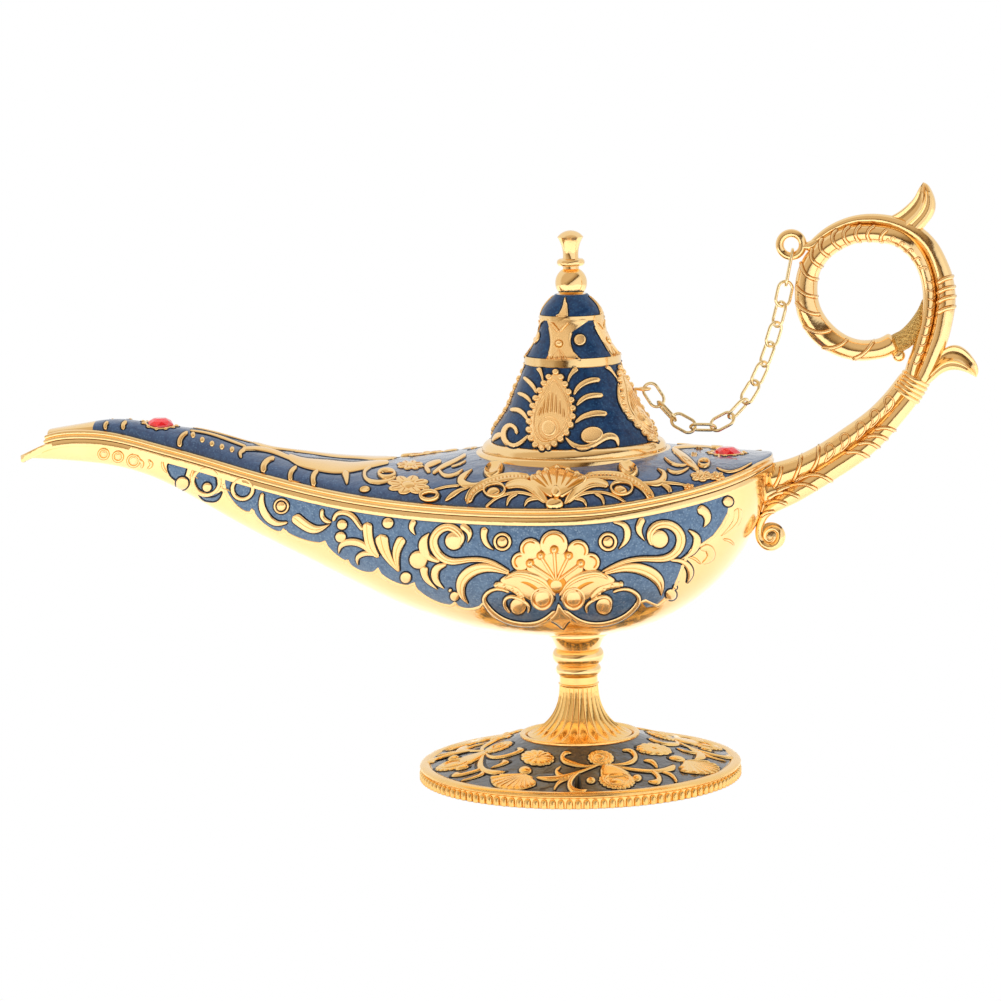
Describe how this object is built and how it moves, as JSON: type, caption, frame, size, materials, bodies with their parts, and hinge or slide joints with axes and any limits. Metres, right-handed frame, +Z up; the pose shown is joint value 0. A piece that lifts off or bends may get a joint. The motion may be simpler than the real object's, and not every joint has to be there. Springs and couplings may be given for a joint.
{
  "type": "genie oil lamp",
  "caption": "Footed genie oil lamp with a long upturned spout, lift-off conical lid on a chain, scrolled ring handle, blue enamel fields and red gems, for table decoration.",
  "frame": {"origin": "centre of the foot's resting face", "axes": "+X along the lamp towards the handle, -X towards the spout, +Z up, Y across"},
  "size_m": [0.2215, 0.074, 0.1353],
  "materials": {
    "gold": "polished gold plating",
    "chain_gold": "polished pale gold wire",
    "hull_enamel": "pearly blue enamel",
    "deck_enamel": "glossy slate blue enamel",
    "cap_enamel": "glossy deep blue enamel",
    "foot_enamel": "glossy dark slate enamel",
    "gem_red": "faceted red stone",
    "fastener_steel": "plain steel"
  },
  "bodies": {
    "lamp": {"foot": "gold", "foot_enamel": "foot_enamel", "hull": "gold", "hull_enamel_near": "hull_enamel", "hull_enamel_far": "hull_enamel", "deck": "gold", "spout_sleeve": "gold", "deck_enamel": "deck_enamel", "spout_bezel": "gold", "spout_gem": "gem_red", "stern_bezel": "gold", "stern_gem": "gem_red", "stem_collar": "gold", "foot_washer": "fastener_steel", "foot_screw": "fastener_steel", "foot_nut": "fastener_steel", "handle_stem_upper": "gold", "handle_stem_lower": "gold", "handle_collar": "gold", "handle_ring_strand": "gold", "handle_outer_strand": "gold", "top_leaf": "gold", "side_leaf": "gold", "handle_web": "gold", "handle_ball": "gold", "scroll_volute": "gold", "handle_screws": "fastener_steel", "handle_eyelet": "gold"},
    "lid": {"cap": "gold", "cap_skirt_enamel": "cap_enamel", "cap_upper_enamel": "cap_enamel", "cap_dome_enamel": "cap_enamel", "cap_medallions": "gold", "finial": "gold", "finial_nut": "fastener_steel", "cap_eyelet": "gold"},
    "link_01": {"chain_link_01": "chain_gold"},
    "link_02": {"chain_link_02": "chain_gold"},
    "link_03": {"chain_link_03": "chain_gold"},
    "link_04": {"chain_link_04": "chain_gold"},
    "link_05": {"chain_link_05": "chain_gold"},
    "link_06": {"chain_link_06": "chain_gold"},
    "link_07": {"chain_link_07": "chain_gold"},
    "link_08": {"chain_link_08": "chain_gold"},
    "link_09": {"chain_link_09": "chain_gold"},
    "link_10": {"chain_link_10": "chain_gold"},
    "link_11": {"chain_link_11": "chain_gold"},
    "link_12": {"chain_link_12": "chain_gold"},
    "link_13": {"chain_link_13": "chain_gold"}
  },
  "joints": [
    {"name": "lid_lift", "type": "slide", "parent": "lamp", "child": "lid", "axis": [0, 0, 1], "range_m": [0, 0.008]},
    {"name": "link_01_swing", "type": "hinge", "parent": "lamp", "child": "link_01", "pos_m": [0.04984, 0, 0.11887], "axis": [0, -1, 0], "range_deg": [-1.19, 0.5]},
    {"name": "link_02_swing", "type": "hinge", "parent": "link_01", "child": "link_02", "pos_m": [0.04851, 0, 0.11228], "axis": [0, -1, 0], "range_deg": [-1.19, 0.5]},
    {"name": "link_03_swing", "type": "hinge", "parent": "link_02", "child": "link_03", "pos_m": [0.04745, 0, 0.1077], "axis": [0, -1, 0], "range_deg": [-1.19, 0.5]},
    {"name": "link_04_swing", "type": "hinge", "parent": "link_03", "child": "link_04", "pos_m": [0.04624, 0, 0.10316], "axis": [0, -1, 0], "range_deg": [-1.19, 0.5]},
    {"name": "link_05_swing", "type": "hinge", "parent": "link_04", "child": "link_05", "pos_m": [0.04484, 0, 0.09867], "axis": [0, -1, 0], "range_deg": [-1.19, 0.5]},
    {"name": "link_06_swing", "type": "hinge", "parent": "link_05", "child": "link_06", "pos_m": [0.0432, 0, 0.09427], "axis": [0, -1, 0], "range_deg": [-1.65, 0.5]},
    {"name": "link_07_swing", "type": "hinge", "parent": "link_08", "child": "link_07", "pos_m": [0.03872, 0, 0.08603], "axis": [0, -1, 0], "range_deg": [-0.5, 6.78]},
    {"name": "link_08_swing", "type": "hinge", "parent": "link_09", "child": "link_08", "pos_m": [0.0355, 0, 0.0826], "axis": [0, -1, 0], "range_deg": [-0.5, 8.43]},
    {"name": "link_09_swing", "type": "hinge", "parent": "link_10", "child": "link_09", "pos_m": [0.03134, 0, 0.08042], "axis": [0, -1, 0], "range_deg": [-0.5, 3.3]},
    {"name": "link_10_swing", "type": "hinge", "parent": "link_11", "child": "link_10", "pos_m": [0.02664, 0, 0.0805], "axis": [0, -1, 0], "range_deg": [-5.13, 0.5]},
    {"name": "link_11_swing", "type": "hinge", "parent": "link_12", "child": "link_11", "pos_m": [0.02253, 0, 0.08278], "axis": [0, -1, 0], "range_deg": [-5.73, 0.5]},
    {"name": "link_12_swing", "type": "hinge", "parent": "link_13", "child": "link_12", "pos_m": [0.01936, 0, 0.08625], "axis": [0, -1, 0], "range_deg": [-4.4, 0.5]},
    {"name": "link_13_swing", "type": "hinge", "parent": "lid", "child": "link_13", "pos_m": [0.01747, 0, 0.0892], "axis": [0, -1, 0], "range_deg": [-12.23, 0.5]}
  ],
  "couplings": [
    {"joint": "link_01_swing", "follows": "lid_lift", "rad_per_m": -1.5},
    {"joint": "link_02_swing", "follows": "lid_lift", "rad_per_m": -1.5},
    {"joint": "link_03_swing", "follows": "lid_lift", "rad_per_m": -1.5},
    {"joint": "link_04_swing", "follows": "lid_lift", "rad_per_m": -1.5},
    {"joint": "link_05_swing", "follows": "lid_lift", "rad_per_m": -1.5},
    {"joint": "link_06_swing", "follows": "lid_lift", "rad_per_m": -2.5},
    {"joint": "link_07_swing", "follows": "lid_lift", "rad_per_m": 13.7},
    {"joint": "link_08_swing", "follows": "lid_lift", "rad_per_m": 17.3},
    {"joint": "link_09_swing", "follows": "lid_lift", "rad_per_m": 6.1},
    {"joint": "link_10_swing", "follows": "lid_lift", "rad_per_m": -10.1},
    {"joint": "link_11_swing", "follows": "lid_lift", "rad_per_m": -11.4},
    {"joint": "link_12_swing", "follows": "lid_lift", "rad_per_m": -8.5},
    {"joint": "link_13_swing", "follows": "lid_lift", "rad_per_m": -25.6}
  ]
}
